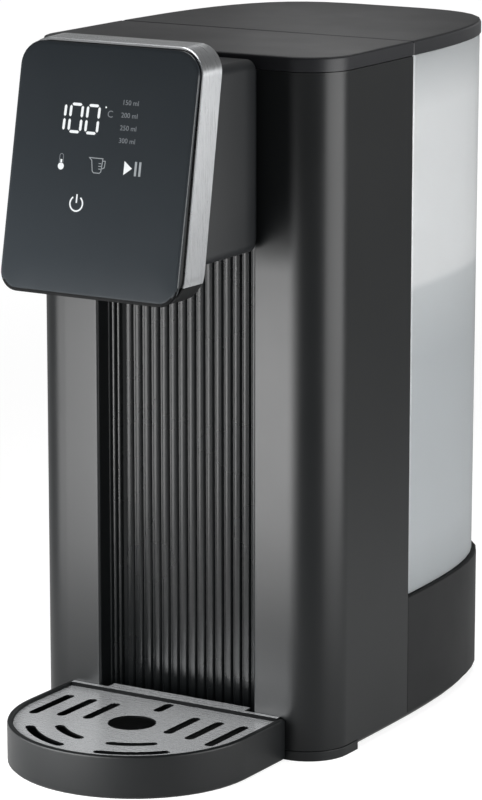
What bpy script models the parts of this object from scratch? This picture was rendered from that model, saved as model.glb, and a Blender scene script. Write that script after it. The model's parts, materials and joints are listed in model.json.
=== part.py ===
"""Instant hot water dispenser: a tall housing with a ribbed channel, a tilted control head,
a drip tray and a lift-off water tank. Metres, +Z up, front towards -Y.
The origin is on the floor, under the middle of the whole machine."""

import math

import bmesh
import bpy
from mathutils import Matrix, Vector

# Overall sizes
body_width = 0.1580
body_depth = 0.1976
base_overhang = 0.0028
lid_height = 0.3200
corner_radius = 0.0204
plan_start = 0.0141
plan_power = 3.83
tray_reach = 0.0919
wall = 0.0024
gap = 0.0003
overrun = 0.0010

# Levels and bands
skirt_height = 0.0046
plate_rise = 0.0013
band_height = 0.0064
edge_round = 0.0012
deck_height = 0.0610
seam_depth = 0.0780
skirt_reach = 0.0310
skirt_width = 0.0042
plate_chamfer = 0.0032

# Ribbed channel
mouth_half_width = 0.0414
mouth_round = 0.0015
return_depth = 0.0090
channel_depth = 0.0221
rib_height = 0.0015
panel_skin = 0.0017
back_rib_count = 17
side_rib_count = 3
rib_along_shares = (0.00, 0.10, 0.13, 0.24, 0.50, 0.76, 0.87, 0.90)
rib_height_shares = (0.00, 0.00, 0.50, 0.86, 1.00, 0.86, 0.50, 0.00)
sill_height = 0.0164
channel_rise = 0.0050
ceiling_skin = 0.0020

# Control head
head_half_width = 0.0466
head_height = 0.1098
head_stand = 0.0078
head_rise = 0.0003
head_flare = 0.0007
head_corner = 0.0125
frame_rise = 0.0085
frame_skin = 0.0011
frame_edge = 0.0004
frame_depth = 0.0148
frame_front = 0.0561
frame_drop = 0.0460
frame_slope = 0.170
screen_side_inset = 0.0007
screen_top_inset = 0.0010
screen_lift = 0.0008
screen_stand = 0.0065
screen_slope = 0.199
screen_corner = 0.0110
screen_low_corner = 0.0090
screen_thickness = 0.0030
screen_edge = 0.0030
screen_inset_shares = (0.30, 0.30, 0.00, 0.00, 0.07, 0.24, 0.50, 0.85)
screen_back_shares = (1.00, 0.36, 0.32, 0.25, 0.14, 0.06, 0.02, 0.00)
screen_crown = 0.0004
screen_crown_inset = 0.0150
carrier_skin = 0.0018
board_thickness = 0.0016
board_setback = 0.0041
led_size = (0.0330, 0.0035, 0.0185)
led_drop = 0.0331
cable_slot = (0.0300, 0.0120)
housing_inset = 0.0016
housing_rise = 0.0147
housing_drop = 0.0017
housing_corner = 0.0045
neck_length = 0.0036
neck_inset = 0.0015
window_inset = 0.0070
window_margin = 0.0110

# Spout
spout_forward = 0.0371
spout_radius = 0.0068
spout_tip_radius = 0.0050
spout_bore = 0.0030
spout_drop = 0.0088
spout_flange = 0.0090
spout_flange_height = 0.0020
spout_rise = 0.0150
seal_height = 0.0016
barb_radius = 0.0032
barb_length = 0.0080

# Drip tray and grille
tray_half_width = 0.0586
tray_height = 0.0194
tray_rim = 0.0024
tray_ledge = 0.0024
tray_floor = 0.0024
tray_edge = 0.0010
grille_top = 0.0180
grille_thickness = 0.0010
flange_height = 0.0019
flange_depth = 0.0024
tongue_half_width = 0.0370
tongue_reach = 0.0052
tongue_thickness = 0.0012
hole_radius = 0.0110
slot_half_width = 0.0023
slot_pitch = 0.0127
first_slot = 0.0217
arc_radius = 0.0354
arc_pitch = 0.0131
arc_turn_shares = ((0.153, 0.492), (0.138, 0.530))
slot_end_shares = ((0.167, 0.466), (0.168, 0.491), (0.166, 0.532))
centre_slot_shares = (0.040, 0.186)

# Tank, lid and valve
tank_wall = 0.0023
tank_inset = 0.0006
tank_draft = 0.0006
tank_foot_inset = 0.0028
tank_floor = 0.0026
tank_corner = 0.0030
tank_foot = 0.0009
lid_plug_depth = 0.0046
lid_skin = 0.0024
lid_rim = 0.0026
valve_setback = 0.0267
valve_neck = 0.0080
valve_bore = 0.0050
valve_seat_bore = 0.0030
valve_seat = 0.0020
valve_drop = 0.0090
valve_flange = 0.0120
valve_flange_height = 0.0018
valve_rim = 0.0018
valve_throw = 0.0040
plunger_head = 0.0042
plunger_head_height = 0.0022
plunger_stem = 0.0016
spring_radius = 0.0036
spring_wire = 0.0004
spring_turns = 4
strainer_radius = 0.0095
strainer_height = 0.0150
strainer_wall = 0.0012
strainer_bars = 4
strainer_slot = 0.0024
socket_bore = 0.0106
socket_wall = 0.0022
pin_radius = 0.0018
seal_depth = 0.0030

# Water path and electrics inside
pump_level = 0.0300
pump_head_radius = 0.0140
pump_head_half = 0.0100
pump_motor_radius = 0.0120
pump_motor_length = 0.0360
pump_boss_radius = 0.0050
pump_boss_length = 0.0030
cradle_width = 0.0070
cradle_side = 0.0150
cradle_drop = 0.0060
cradle_inset = 0.0050
hose_radius = 0.0045
hose_hole = 0.0058
heater_half_width = 0.0230
heater_depth = 0.0290
heater_bottom = 0.1000
heater_drop = 0.0466
fin_count = 7
fin_depth = 0.0030
fin_share = 0.45
bracket_skin = 0.0014
bracket_flange = 0.0090
bracket_rise = 0.0100
bracket_drop = 0.0500
bracket_reach = 0.0240
cutout_radius = 0.0085
cutout_height = 0.0050
cutout_cap_radius = 0.0055
cutout_cap_height = 0.0016
sensor_radius = 0.0030
sensor_length = 0.0100
sensor_side = 0.0140
board_margin = 0.0046
board_width = 0.0330
board_bottom = 0.0900
board_height = 0.1050
standoff = 0.0050
standoff_radius = 0.0030
standoff_inset = 0.0050
board_part_sizes = {
    "relay": (0.0150, 0.0160, 0.0190),
    "choke": (0.0120, 0.0140, 0.0250),
    "heatsink": (0.0240, 0.0180, 0.0260),
    "connector": (0.0220, 0.0080, 0.0080),
}
board_place_shares = {
    "relay": (0.28, 0.16),
    "choke": (0.76, 0.22),
    "heatsink": (0.50, 0.56),
    "connector": (0.50, 0.90),
}

# Feet, screws and mains entry
foot_radius = 0.0065
foot_recess = 0.0010
foot_inset = 0.0210
foot_front_depth = 0.0420
foot_rear_setback = 0.0444
screw_radius = 0.0015
screw_head_radius = 0.0032
screw_head_height = 0.0013
screw_length = 0.0140
screw_clearance = 0.0004
counterbore = 0.0020
boss_radius = 0.0045
boss_height = 0.0200
web_thickness = 0.0024
front_screw_inset = 0.0150
front_screw_depth = 0.0560
rear_screw_inset = 0.0310
rear_screw_setback = 0.0324
gland_level = 0.0230
gland_flange_radius = 0.0082
gland_flange_depth = 0.0016
gland_neck_radius = 0.0060
gland_bore = 0.0037
gland_length = 0.0080

# Round steps
corner_steps = 10
rear_steps = 36
round_steps = 20
small_steps = 4
turn_points = 10
edge_share = 0.3

half_width = body_width / 2
base_depth = body_depth + base_overhang
front_y = (tray_reach - base_depth) / 2
cover_bottom = lid_height - band_height
shell_bottom = skirt_height + gap
shell_top = cover_bottom - gap
tank_front = seam_depth + gap
divider_back = seam_depth - gap
divider_front = divider_back - wall
tank_bottom = deck_height - tank_foot
deck_top = tank_bottom - gap
deck_bottom = deck_top - wall
head_top_front = lid_height + head_stand
head_top_rear = head_top_front + head_rise
head_bottom = head_top_front - head_height
frame_end = head_bottom + frame_rise
frame_level = lid_height - frame_drop
screen_half_width = head_half_width - screen_side_inset
screen_bottom = head_bottom + screen_lift
screen_top = head_top_front - screen_top_inset
screen_front = frame_front + frame_slope * (frame_level - screen_bottom) + screen_stand
housing_half_width = head_half_width - housing_inset
housing_bottom = head_bottom + housing_rise
housing_top = lid_height - housing_drop
channel_top = housing_bottom + channel_rise
panel_back = channel_depth + rib_height + panel_skin
window_half_width = housing_half_width - window_inset
window_bottom = housing_bottom + window_margin
window_top = housing_top - window_margin
hose_crest = (window_bottom + window_top) / 2
valve_depth = tank_front + valve_setback
pump_depth = (panel_back + divider_front) / 2
heater_back = divider_front - gap - bracket_skin - gap
heater_front = heater_back - heater_depth
heater_middle = (heater_front + heater_back) / 2
heater_top = hose_crest - heater_drop
bracket_top = heater_top - bracket_drop
board_left = half_width - wall - board_margin
board_right = board_left - board_width
front_screw = (half_width - front_screw_inset, front_screw_depth)
rear_screw = (half_width - rear_screw_inset, base_depth - rear_screw_setback)


def finish(name, colour, roughness, metallic=0.0, alpha=1.0):
    """Return the named Principled material, made once."""
    found = bpy.data.materials.get(name)
    if found:
        return found
    made = bpy.data.materials.new(name)
    made.use_nodes = True
    shader = made.node_tree.nodes["Principled BSDF"]
    shader.inputs["Base Color"].default_value = (*colour, 1.0)
    shader.inputs["Roughness"].default_value = roughness
    shader.inputs["Metallic"].default_value = metallic
    shader.inputs["Alpha"].default_value = alpha
    made.diffuse_color = (*colour, alpha)
    return made


def finishes():
    """Make every material of the machine, by the name of its finish."""
    return {
        "satin_black": finish("satin_black", (0.030, 0.032, 0.035), 0.35),
        "dark_base": finish("dark_base", (0.020, 0.022, 0.024), 0.45),
        "gloss_black": finish("gloss_black", (0.012, 0.013, 0.014), 0.12),
        "brushed_silver": finish("brushed_silver", (0.52, 0.53, 0.54), 0.30, 1.0),
        "brushed_steel": finish("brushed_steel", (0.42, 0.43, 0.44), 0.32, 1.0),
        "frosted_clear": finish("frosted_clear", (0.62, 0.64, 0.65), 0.40, 0.0, 0.45),
        "rubber": finish("rubber", (0.018, 0.018, 0.018), 0.80),
        "silicone": finish("silicone", (0.70, 0.70, 0.68), 0.50),
        "white_plastic": finish("white_plastic", (0.75, 0.75, 0.73), 0.45),
        "cast_aluminium": finish("cast_aluminium", (0.55, 0.56, 0.57), 0.45, 1.0),
        "zinc_steel": finish("zinc_steel", (0.50, 0.50, 0.50), 0.35, 1.0),
        "circuit_board": finish("circuit_board", (0.02, 0.16, 0.06), 0.50),
        "display": finish("display", (0.03, 0.03, 0.03), 0.20),
    }


def world(x, depth, z):
    """A point given by its depth behind the front face of the columns."""
    return (x, front_y + depth, z)


def smooth(mesh, degrees=32.0):
    """Shade round surfaces smooth and keep real edges crisp."""
    mesh.shade_smooth()
    mesh.set_sharp_from_angle(angle=math.radians(degrees))


def solid(name, points, faces, look):
    """Make one closed object from points and faces, with its faces turned outwards."""
    mesh = bpy.data.meshes.new(name)
    mesh.from_pydata(points, [], faces)
    work = bmesh.new()
    work.from_mesh(mesh)
    bmesh.ops.recalc_face_normals(work, faces=work.faces)
    work.to_mesh(mesh)
    work.free()
    smooth(mesh)
    obj = bpy.data.objects.new(name, mesh)
    bpy.context.collection.objects.link(obj)
    mesh.materials.append(look)
    return obj


def loft(name, rings, look, ring_closed=False):
    """Join equal rings of points in a row, capped at both ends or closed on itself."""
    count = len(rings[0])
    points = [point for ring in rings for point in ring]
    faces = []
    pairs = list(zip(range(len(rings) - 1), range(1, len(rings))))
    if ring_closed:
        pairs.append((len(rings) - 1, 0))
    for low, high in pairs:
        for k in range(count):
            after = (k + 1) % count
            faces.append((low * count + k, low * count + after, high * count + after, high * count + k))
    if not ring_closed:
        faces.append(tuple(range(count))[::-1])
        faces.append(tuple((len(rings) - 1) * count + k for k in range(count)))
    return solid(name, points, faces, look)


def prism(name, outline, low, high, look):
    """Extrude a plan outline (x, depth) from one level to another."""
    rings = [[world(x, depth, z) for x, depth in outline] for z in (low, high)]
    return loft(name, rings, look)


def turned(name, profile, look, axis="Z", steps=round_steps):
    """Turn a closed profile of (radius, height) points round an axis through the object's origin.
    A profile that starts and ends on the axis gives a solid piece, any other one a ring."""
    on_axis = profile[0][0] == 0.0
    inner = profile[1:-1] if on_axis else profile
    rings = []
    for radius, height in inner:
        ring = []
        for k in range(steps):
            turn = math.tau * k / steps
            ring.append((radius * math.cos(turn), radius * math.sin(turn), height))
        rings.append(ring)
    obj = loft(name, rings, look, ring_closed=not on_axis)
    if axis == "Y":
        obj.data.transform(Matrix.Rotation(math.radians(90.0), 4, "X"))
    if axis == "X":
        obj.data.transform(Matrix.Rotation(math.radians(90.0), 4, "Y"))
    return obj


def block(name, low, high, look):
    """A box between two corners, each (x, depth, z)."""
    outline = [(low[0], low[1]), (high[0], low[1]), (high[0], high[1]), (low[0], high[1])]
    return prism(name, outline, low[2], high[2], look)


def shape_with(obj, tool, operation):
    """Cut or join a hidden tool shape to an object with a Boolean modifier."""
    tool.hide_render = True
    tool.display_type = "WIRE"
    change = obj.modifiers.new(tool.name, "BOOLEAN")
    change.object = tool
    change.operation = operation
    change.solver = "EXACT"


def cut(obj, tool):
    shape_with(obj, tool, "DIFFERENCE")


def join(obj, tool):
    shape_with(obj, tool, "UNION")


def rod(name, centre, radius, length, look, axis="Z", steps=round_steps):
    """A round bar from its centre point along an axis, for length to the plus side."""
    obj = turned(name, [(0.0, 0.0), (radius, 0.0), (radius, length), (0.0, length)], look, axis, steps)
    if axis == "Y":
        obj.data.transform(Matrix.Rotation(math.pi, 4, "X"))
    obj.location = world(*centre)
    return obj


def side_at(depth, inset=0.0, reach=body_depth):
    """Half the plan's width at a depth, on the long curve from the side round the back."""
    along = max(depth - plan_start, 0.0) / (reach - plan_start - inset)
    return (half_width - inset) * (1.0 - along ** plan_power) ** (1.0 / plan_power)


def rear_curve(inset, start, reach=body_depth, steps=rear_steps):
    """Points of the side and back from the right at one depth round to the left at the same depth."""
    a = half_width - inset
    b = reach - plan_start - inset
    first = math.atan2(start - plan_start, side_at(start, inset, reach))
    points = []
    for k in range(steps + 1):
        turn = first + (math.pi - 2.0 * first) * k / steps
        c = abs(math.cos(turn)) / a
        s = math.sin(turn) / b
        radius = (c ** plan_power + s ** plan_power) ** (-1.0 / plan_power)
        points.append((radius * math.cos(turn), plan_start + radius * math.sin(turn)))
    return points


def arc(centre, radius, first, last, steps):
    """Points on an arc, with its angles in degrees."""
    points = []
    for k in range(steps + 1):
        turn = math.radians(first + (last - first) * k / steps)
        points.append((centre[0] + radius * math.cos(turn), centre[1] + radius * math.sin(turn)))
    return points


def front_curve(inset, start, steps=corner_steps):
    """Points from the left side at one depth round the front to the right side at that depth."""
    right = []
    centre = (half_width - corner_radius, corner_radius)
    right += arc(centre, corner_radius - inset, -90.0, 0.0, steps)
    if start > corner_radius:
        for k in range(1, small_steps + 1):
            depth = corner_radius + (start - corner_radius) * k / small_steps
            right.append((side_at(depth, inset), depth))
    left = [(-x, depth) for x, depth in reversed(right)]
    return left + right


def rear_outline(inset, start, reach=body_depth, corner=tank_corner):
    """The closed plan outline of a piece behind the seam, with small front corners."""
    back = rear_curve(inset, start + corner, reach)
    side = back[0][0]
    near = arc((side - corner, start + corner), corner, -90.0, 0.0, small_steps)
    far = [(-x, depth) for x, depth in reversed(near)]
    return far + near + back[1:-1]


def rounded_rectangle(half, bottom, top, corner, steps=6, low_corner=None):
    """Points (x, z) of an upright rounded rectangle, from the bottom right corner upwards."""
    low = low_corner or corner
    points = []
    points += arc((half - low, bottom + low), low, -90.0, 0.0, steps)
    points += arc((half - corner, top - corner), corner, 0.0, 90.0, steps)
    points += arc((corner - half, top - corner), corner, 90.0, 180.0, steps)
    points += arc((low - half, bottom + low), low, 180.0, 270.0, steps)
    return points


def tray_outline(inset, steps=32):
    """The D-shaped plan of the tray: straight sides, then a half circle to the front."""
    radius = tray_half_width - inset
    centre = (0.0, tray_half_width - tray_reach)
    return arc(centre, radius, 180.0, 360.0, steps) + [(radius, -gap - inset), (-radius, -gap - inset)]


def at_level(outline, z):
    return [world(x, depth, z) for x, depth in outline]


def build_skirt(look):
    outer = front_curve(0.0, skirt_reach)
    inner = front_curve(skirt_width, skirt_reach)
    return prism("front_skirt", outer + inner[::-1], 0.0, skirt_height, look)


def plate_outline(rear_inset):
    """The base plate's plan: drawn in behind the skirt and wider behind it."""
    start = skirt_reach + gap
    front = front_curve(skirt_width + gap, start)
    back = rear_curve(rear_inset, start, base_depth)
    return front + back


def screw_places():
    places = []
    for side, depth in (front_screw, rear_screw):
        places.append((side, depth))
        places.append((-side, depth))
    return places


def foot_places():
    side = half_width - foot_inset
    depths = (foot_front_depth, base_depth - foot_rear_setback)
    return [(x, depth) for depth in depths for x in (-side, side)]


def build_base_plate(look):
    rings = [
        at_level(plate_outline(plate_chamfer), plate_rise),
        at_level(plate_outline(edge_round), skirt_height - edge_round),
        at_level(plate_outline(edge_round), skirt_height),
    ]
    plate = loft("base_plate", rings, look)
    for k, (x, depth) in enumerate(screw_places()):
        centre = (x, depth, plate_rise - overrun)
        bore = screw_radius + screw_clearance
        head = screw_head_radius + screw_clearance
        cut(plate, rod(f"plate_hole_{k}", centre, bore, skirt_height + overrun, look, steps=12))
        cut(plate, rod(f"plate_counterbore_{k}", centre, head, counterbore + overrun, look, steps=16))
    for k, (x, depth) in enumerate(foot_places()):
        centre = (x, depth, plate_rise - overrun)
        cut(plate, rod(f"plate_recess_{k}", centre, foot_radius + gap, foot_recess + overrun, look))
    return plate


def build_feet(look):
    top = plate_rise + foot_recess - gap
    profile = [
        (0.0, 0.0), (foot_radius - edge_round / 2, 0.0), (foot_radius, edge_round / 2),
        (foot_radius, top), (0.0, top),
    ]
    names = ("foot_front_left", "foot_front_right", "foot_rear_left", "foot_rear_right")
    for name, (x, depth) in zip(names, foot_places()):
        foot = turned(name, profile, look)
        foot.location = world(x, depth, 0.0)


def build_screws(look):
    head_top = plate_rise + counterbore - gap
    profile = [
        (0.0, head_top - screw_head_height), (screw_head_radius, head_top - screw_head_height),
        (screw_head_radius, head_top), (screw_radius, head_top),
        (screw_radius, head_top + screw_length), (0.0, head_top + screw_length),
    ]
    for k, (x, depth) in enumerate(screw_places()):
        screw = turned(f"base_screw_{k + 1}", profile, look, steps=12)
        screw.location = world(x, depth, 0.0)


def column_outline():
    """The right column in plan: side, rounded corner, front, mouth edge and the return beside the ribs."""
    outer = front_curve(0.0, divider_back + gap)
    outer = outer[len(outer) // 2:]
    inner = front_curve(wall, divider_back + gap)
    inner = inner[len(inner) // 2:]
    edge = arc((mouth_half_width + mouth_round, mouth_round), mouth_round, 180.0, 270.0, small_steps)
    back = mouth_half_width + wall
    lining = [(back, wall), (back, return_depth), (mouth_half_width, return_depth)]
    return edge + outer + inner[::-1] + lining


def build_body_shell(look):
    right = column_outline()
    left = [(-x, depth) for x, depth in right]
    shell = prism("body_shell", right, shell_bottom, shell_top, look)
    join(shell, prism("left_column", left, shell_bottom, shell_top, look))
    side = mouth_half_width + mouth_round + wall
    join(shell, block("front_top", (-side, 0.0, channel_top), (side, wall, shell_top), look))
    join(shell, block("front_sill", (-side, 0.0, shell_bottom), (side, wall, sill_height), look))
    low = (-window_half_width, -overrun, window_bottom)
    high = (window_half_width, wall + overrun, window_top)
    cut(shell, block("head_window", low, high, look))
    for side in (-1, 1):
        x = side * front_screw[0]
        depth = front_screw[1]
        centre = (x, depth, shell_bottom)
        web_end = side * (side_at(depth) - wall / 2)
        low = (min(x, web_end), depth - web_thickness / 2, shell_bottom)
        high = (max(x, web_end), depth + web_thickness / 2, shell_bottom + boss_height)
        join(shell, block(f"shell_web_{side}", low, high, look))
        join(shell, rod(f"shell_boss_{side}", centre, boss_radius, boss_height, look, steps=16))
        bore = screw_radius + gap
        depth_of_bore = screw_length + overrun
        centre = (x, depth, shell_bottom - overrun)
        cut(shell, rod(f"shell_bore_{side}", centre, bore, depth_of_bore, look, steps=12))
    return shell


def rib_line(start, end, normal, count):
    """Points along one ribbed wall, from start to end, with the ribs standing out to the normal."""
    points = []
    run = end - start
    for rib in range(count):
        for along_share, height_share in zip(rib_along_shares, rib_height_shares):
            along = start + run * ((rib + along_share) / count)
            points.append(along + normal * rib_height * (height_share - 1.0))
    points.append(end - normal * rib_height)
    return points


def build_rib_panel(look):
    """The channel's insert: vertical ribs on the back wall and both side walls, and a ceiling."""
    front = return_depth + gap
    right_front = Vector((mouth_half_width, front))
    right_back = Vector((mouth_half_width, channel_depth))
    left_back = Vector((-mouth_half_width, channel_depth))
    left_front = Vector((-mouth_half_width, front))
    line = rib_line(right_front, right_back, Vector((-1.0, 0.0)), side_rib_count)
    line = line[:-1]
    line += rib_line(right_back, left_back, Vector((0.0, -1.0)), back_rib_count)
    line = line[:-1]
    line += rib_line(left_back, left_front, Vector((1.0, 0.0)), side_rib_count)
    outer = mouth_half_width + rib_height + panel_skin
    outline = [(x, depth) for x, depth in line]
    outline += [(-outer, front), (-outer, panel_back), (outer, panel_back), (outer, front)]
    top = channel_top + ceiling_skin
    panel = prism("rib_panel", outline, shell_bottom, top, look)
    wide = mouth_half_width + rib_height + panel_skin / 2
    narrow = mouth_half_width - gap
    right = [(narrow, wall + gap), (narrow, front), (wide, front), (wide, panel_back - panel_skin / 2)]
    outline = right + [(-x, depth) for x, depth in reversed(right)]
    join(panel, prism("channel_ceiling", outline, channel_top, top + ceiling_skin, look))
    return panel


def build_divider(look):
    side = side_at(divider_back) - wall - gap
    low = (-side, divider_front, shell_bottom)
    divider = block("divider_wall", low, (side, divider_back, shell_top), look)
    start = (0.0, divider_front - overrun, pump_level)
    cut(divider, rod("divider_hose_hole", start, hose_hole, wall + 2 * overrun, look, axis="Y"))
    for k, (x, z) in enumerate(standoff_places()):
        start = (x, divider_front - standoff, z)
        length = standoff + wall / 2
        join(divider, rod(f"standoff_{k}", start, standoff_radius, length, look, axis="Y", steps=10))
    return divider


def standoff_places():
    """The places (x, z) of the power board's four standoffs."""
    sides = (-board_left + standoff_inset, -board_right - standoff_inset)
    levels = (board_bottom + standoff_inset, board_bottom + board_height - standoff_inset)
    return [(x, z) for x in sides for z in levels]


def build_rear_base(look):
    """The housing under the tank: outer wall, deck and the low rim round the tank's foot."""
    rim = tank_foot_inset - gap
    outer = rear_outline(0.0, tank_front, base_depth, gap)
    inner = rear_outline(wall, tank_front + wall, base_depth, wall)
    foot = rear_outline(rim, tank_front + rim, body_depth, wall)
    upper = rear_outline(edge_round / 2, tank_front + edge_round / 2, base_depth, gap)
    rings = [
        at_level(inner, deck_bottom),
        at_level(inner, shell_bottom),
        at_level(outer, shell_bottom),
        at_level(outer, deck_height - edge_round / 2),
        at_level(upper, deck_height),
        at_level(foot, deck_height),
        at_level(foot, deck_top),
    ]
    base = loft("rear_base", rings, look)
    for side in (-1, 1):
        centre = (side * rear_screw[0], rear_screw[1], shell_bottom)
        height = deck_bottom - shell_bottom + wall / 2
        join(base, rod(f"base_boss_{side}", centre, boss_radius, height, look, steps=16))
        centre = (side * rear_screw[0], rear_screw[1], shell_bottom - overrun)
        length = screw_length + overrun
        cut(base, rod(f"base_bore_{side}", centre, screw_radius + gap, length, look, steps=12))
    low = (0.0, valve_depth, deck_bottom - overrun)
    cut(base, rod("socket_hole", low, socket_bore + socket_wall + gap, wall + 2 * overrun, look))
    start = (0.0, tank_front - overrun, pump_level)
    cut(base, rod("base_hose_hole", start, hose_hole, wall + 2 * overrun, look, axis="Y"))
    start = (0.0, base_depth - wall - overrun, gland_level)
    cut(base, rod("gland_hole", start, gland_neck_radius + gap, wall + 2 * overrun, look, axis="Y"))
    start = (0.0, base_depth - gland_flange_depth, gland_level)
    length = gland_flange_depth + overrun
    cut(base, rod("gland_recess", start, gland_flange_radius + gap, length, look, axis="Y"))
    return base


def build_gland(look):
    """The mains entry: a bushing with a round passage in the back wall."""
    shoulder = gland_flange_depth - gap
    profile = [
        (gland_bore, 0.0), (gland_flange_radius, 0.0), (gland_flange_radius, shoulder),
        (gland_neck_radius, shoulder), (gland_neck_radius, gland_length), (gland_bore, gland_length),
    ]
    gland = turned("cord_gland", profile, look, axis="Y")
    gland.location = world(0.0, base_depth, gland_level)
    return gland


def cover_rings(outline_of):
    """Rings of a lid: pocket, underside, side band and the rounded top edge."""
    top = lid_height
    return [
        at_level(outline_of(wall + lid_skin), top - lid_skin),
        at_level(outline_of(wall + lid_skin), cover_bottom),
        at_level(outline_of(0.0), cover_bottom),
        at_level(outline_of(0.0), top - edge_round),
        at_level(outline_of(edge_round * edge_share), top - edge_round * edge_share),
        at_level(outline_of(edge_round), top),
    ]


def build_top_cover(look):
    def outline_of(inset):
        return front_curve(inset, seam_depth - inset)
    return loft("top_cover", cover_rings(outline_of), look)


def build_tank_lid(look):
    plug = tank_inset + tank_wall + gap

    def outline_of(inset, corner=edge_round):
        return rear_outline(inset, tank_front + inset, body_depth, corner)

    inner = plug + lid_rim
    rings = cover_rings(outline_of)
    plug_rings = [
        at_level(outline_of(inner, tank_corner), lid_height - lid_skin),
        at_level(outline_of(inner, tank_corner), cover_bottom - lid_plug_depth),
        at_level(outline_of(plug, tank_corner), cover_bottom - lid_plug_depth),
        at_level(outline_of(plug, tank_corner), cover_bottom),
    ]
    return loft("tank_lid", plug_rings + rings[2:], look)


def build_tank(look):
    """The lift-off tank: an open vessel with a drawn-in foot and a hole for its valve."""
    def outline_of(inset, corner=tank_corner):
        return rear_outline(inset, tank_front + inset, body_depth, corner)

    ledge = deck_height + gap
    inner = tank_inset + tank_wall
    foot = tank_inset + tank_draft
    rings = [
        at_level(outline_of(tank_foot_inset), tank_bottom),
        at_level(outline_of(tank_foot_inset), ledge),
        at_level(outline_of(foot + edge_round / 2), ledge),
        at_level(outline_of(foot), ledge + edge_round / 2),
        at_level(outline_of(tank_inset), shell_top),
        at_level(outline_of(inner), shell_top),
        at_level(outline_of(inner + tank_draft), tank_bottom + tank_floor),
    ]
    tank = loft("water_tank", rings, look)
    low = (0.0, valve_depth, tank_bottom - overrun)
    cut(tank, rod("valve_hole", low, valve_neck + gap, tank_floor + 2 * overrun, look))
    return tank


def build_valve(body_look, spring_look, strainer_look):
    """The tank's self-closing valve: body, plunger and spring, under a strainer that holds them in."""
    foot = tank_bottom - valve_drop
    seat = foot + valve_seat
    flange_low = tank_bottom + tank_floor + gap
    flange_high = flange_low + valve_flange_height
    rim = flange_high + valve_rim
    body = turned("valve_body", [
        (valve_seat_bore, foot), (valve_neck, foot), (valve_neck, flange_low),
        (valve_flange, flange_low), (valve_flange, flange_high), (valve_neck, flange_high),
        (valve_neck, rim), (valve_bore, rim), (valve_bore, seat), (valve_seat_bore, seat),
    ], body_look)
    body.location = world(0.0, valve_depth, 0.0)

    base = rim + gap
    guide = spring_radius - spring_wire - gap
    guide_top = base + strainer_wall + valve_throw
    head_low = seat + valve_throw + gap
    head_high = head_low + plunger_head_height
    stem_low = pin_top() + gap
    plunger = turned("valve_plunger", [
        (0.0, stem_low), (plunger_stem, stem_low), (plunger_stem, head_low), (plunger_head, head_low),
        (plunger_head, head_high), (guide, head_high), (guide, guide_top), (0.0, guide_top),
    ], body_look)
    plunger.location = world(0.0, valve_depth, 0.0)

    build_spring(head_high + spring_wire + gap, rim - spring_wire, spring_look)

    cap = base + strainer_height
    inner = strainer_radius - strainer_wall
    strainer = turned("tank_strainer", [
        (0.0, cap), (strainer_radius, cap), (strainer_radius, base), (guide + gap, base),
        (guide + gap, base + strainer_wall), (inner, base + strainer_wall), (inner, cap - strainer_wall),
        (0.0, cap - strainer_wall),
    ], strainer_look)
    strainer.location = world(0.0, valve_depth, 0.0)
    half = strainer_radius + overrun
    for k in range(strainer_bars):
        low = (-half, -front_y - strainer_slot / 2, base + 2 * strainer_wall)
        high = (half, -front_y + strainer_slot / 2, cap - 2 * strainer_wall)
        bar = block(f"strainer_slot_{k}", low, high, strainer_look)
        bar.data.transform(Matrix.Rotation(math.pi * k / strainer_bars, 4, "Z"))
        bar.location = world(0.0, valve_depth, 0.0)
        cut(strainer, bar)


def build_spring(low, high, look):
    """The valve's coil spring, as one wire from one level to the other."""
    points = []
    for k in range(spring_turns * turn_points + 1):
        turn = math.tau * k / turn_points
        rise = low + (high - low) * k / (spring_turns * turn_points)
        points.append((spring_radius * math.cos(turn), valve_depth + spring_radius * math.sin(turn), rise))
    pitch = (high - low) / spring_turns
    print("least gap between the spring's turns in mm:", round((pitch - 2 * spring_wire) * 1000, 2))
    tube("valve_spring", points, spring_wire, look, sides=1)


def pin_top():
    """The level of the dock's pin, which holds the valve's stem up while the tank stands in place."""
    return tank_bottom - valve_drop + valve_seat - gap


def tube(name, points, radius, look, sides=2):
    """A round tube along points (x, depth, z), as a bevelled curve with closed ends."""
    curve = bpy.data.curves.new(name, "CURVE")
    curve.dimensions = "3D"
    curve.bevel_depth = radius
    curve.bevel_resolution = sides
    curve.use_fill_caps = True
    line = curve.splines.new("POLY")
    line.points.add(len(points) - 1)
    for spot, point in zip(line.points, points):
        spot.co = (*world(*point), 1.0)
    obj = bpy.data.objects.new(name, curve)
    bpy.context.collection.objects.link(obj)
    curve.materials.append(look)
    return obj


def smooth_route(points, steps=6):
    """Points on a smooth curve through a route's own points, with a straight run at both ends."""
    spots = [Vector(point) for point in points]
    slopes = [(after - before) / 2 for before, after in zip(spots, spots[2:])]
    slopes[0] = (spots[1] - spots[0]).normalized() * (spots[2] - spots[1]).length
    slopes[-1] = (spots[-1] - spots[-2]).normalized() * (spots[-2] - spots[-3]).length
    route = [spots[0]]
    for k in range(1, len(spots) - 2):
        for step in range(steps):
            t = step / steps
            ease = 3 * t ** 2 - 2 * t ** 3
            leave = slopes[k - 1] * (t ** 3 - 2 * t ** 2 + t)
            arrive = slopes[k] * (t ** 3 - t ** 2)
            route.append(spots[k].lerp(spots[k + 1], ease) + leave + arrive)
    route += spots[-2:]
    return [tuple(point) for point in route]


def socket_floor():
    return pump_level - socket_wall - hose_radius


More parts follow.
